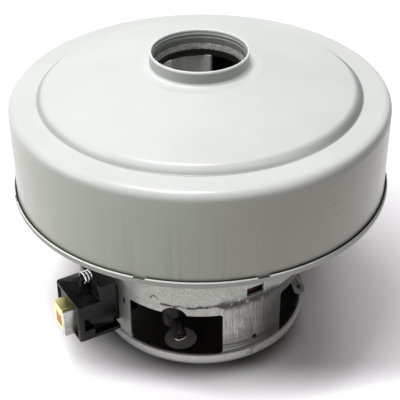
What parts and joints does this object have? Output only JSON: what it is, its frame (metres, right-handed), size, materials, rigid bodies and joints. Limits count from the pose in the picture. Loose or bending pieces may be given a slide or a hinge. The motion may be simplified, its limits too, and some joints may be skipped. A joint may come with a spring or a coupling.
{
  "type": "vacuum cleaner motor unit",
  "caption": "Vacuum cleaner motor: a fan under a drawn sheet cover with a round air inlet, on an open sheet frame with brush holders on both sides.",
  "frame": {"origin": "middle of the rear bearing boss's end face, on the shaft axis", "axes": "+Z along the shaft towards the air inlet, +X through the right brush holder, -Y through the two terminal windows' side"},
  "size_m": [0.135, 0.135, 0.1121],
  "materials": {
    "cover_paint": "satin paint",
    "zinc_sheet": "zinc-plated sheet",
    "bearing_steel": "ground",
    "lamination": "stacked sheet",
    "black_moulding": "gloss moulding",
    "guide_plastic": "matt moulding",
    "copper_wire": "enamelled copper",
    "copper": "bare copper",
    "brass": "drawn brass",
    "tin": "tin plate",
    "felt": "pressed felt",
    "aluminium": "pressed sheet",
    "carbon": "pressed graphite",
    "phenolic": "phenolic moulding"
  },
  "bodies": {
    "housing": {"fan_cover": "cover_paint", "inlet_seal": "felt", "air_guide": "guide_plastic", "air_guide_screws": "bearing_steel", "front_bracket": "zinc_sheet", "motor_frame": "zinc_sheet", "frame_screws": "bearing_steel", "rear_bracket": "zinc_sheet", "rear_tray": "guide_plastic", "stator_core": "lamination", "field_coil_front": "copper_wire", "field_coil_back": "copper_wire", "field_insulator_front": "guide_plastic", "field_insulator_rear": "guide_plastic", "terminal_tab_left": "tin", "terminal_tab_right": "tin", "front_bearing_outer": "bearing_steel", "rear_bearing_outer": "bearing_steel", "brush_holder_left": "black_moulding", "brush_tube_left": "brass", "brush_terminal_left": "tin", "brush_cap_left": "copper", "brush_spring_left": "bearing_steel", "brush_lead_left": "tin", "brush_holder_right": "black_moulding", "brush_tube_right": "brass", "brush_terminal_right": "tin", "brush_cap_right": "copper", "brush_spring_right": "bearing_steel", "brush_lead_right": "tin"},
    "rotor": {"shaft": "bearing_steel", "armature_core": "lamination", "armature_winding": "copper_wire", "commutator_hub": "phenolic", "commutator_bars": "copper", "fan_spacer": "bearing_steel", "impeller_back_plate": "aluminium", "impeller_vanes": "aluminium", "impeller_front_plate": "aluminium", "fan_washer": "bearing_steel", "fan_nut": "bearing_steel", "front_bearing_inner": "bearing_steel", "rear_bearing_inner": "bearing_steel"},
    "front_balls": {"front_bearing_balls": "bearing_steel"},
    "rear_balls": {"rear_bearing_balls": "bearing_steel"},
    "brush_left": {"carbon_brush_left": "carbon"},
    "brush_right": {"carbon_brush_right": "carbon"}
  },
  "joints": [
    {"name": "rotor_spin", "type": "hinge", "parent": "housing", "child": "rotor", "pos_m": [0, 0, 0.04], "axis": [0, 0, 1], "continuous": true},
    {"name": "front_balls_spin", "type": "hinge", "parent": "housing", "child": "front_balls", "pos_m": [0, 0, 0.067], "axis": [0, 0, 1], "continuous": true},
    {"name": "rear_balls_spin", "type": "hinge", "parent": "housing", "child": "rear_balls", "pos_m": [0, 0, 0.0042], "axis": [0, 0, 1], "continuous": true},
    {"name": "brush_left_slide", "type": "slide", "parent": "housing", "child": "brush_left", "axis": [-1, 0, 0], "range_m": [0, 0.01], "stiffness_N_per_m": 300, "springref_m": -0.012, "deforming": ["brush_spring_left"]},
    {"name": "brush_right_slide", "type": "slide", "parent": "housing", "child": "brush_right", "axis": [1, 0, 0], "range_m": [0, 0.01], "stiffness_N_per_m": 300, "springref_m": -0.012, "deforming": ["brush_spring_right"]}
  ],
  "couplings": [
    {"joint": "front_balls_spin", "follows": "rotor_spin", "ratio": 0.3693},
    {"joint": "rear_balls_spin", "follows": "rotor_spin", "ratio": 0.3708}
  ]
}
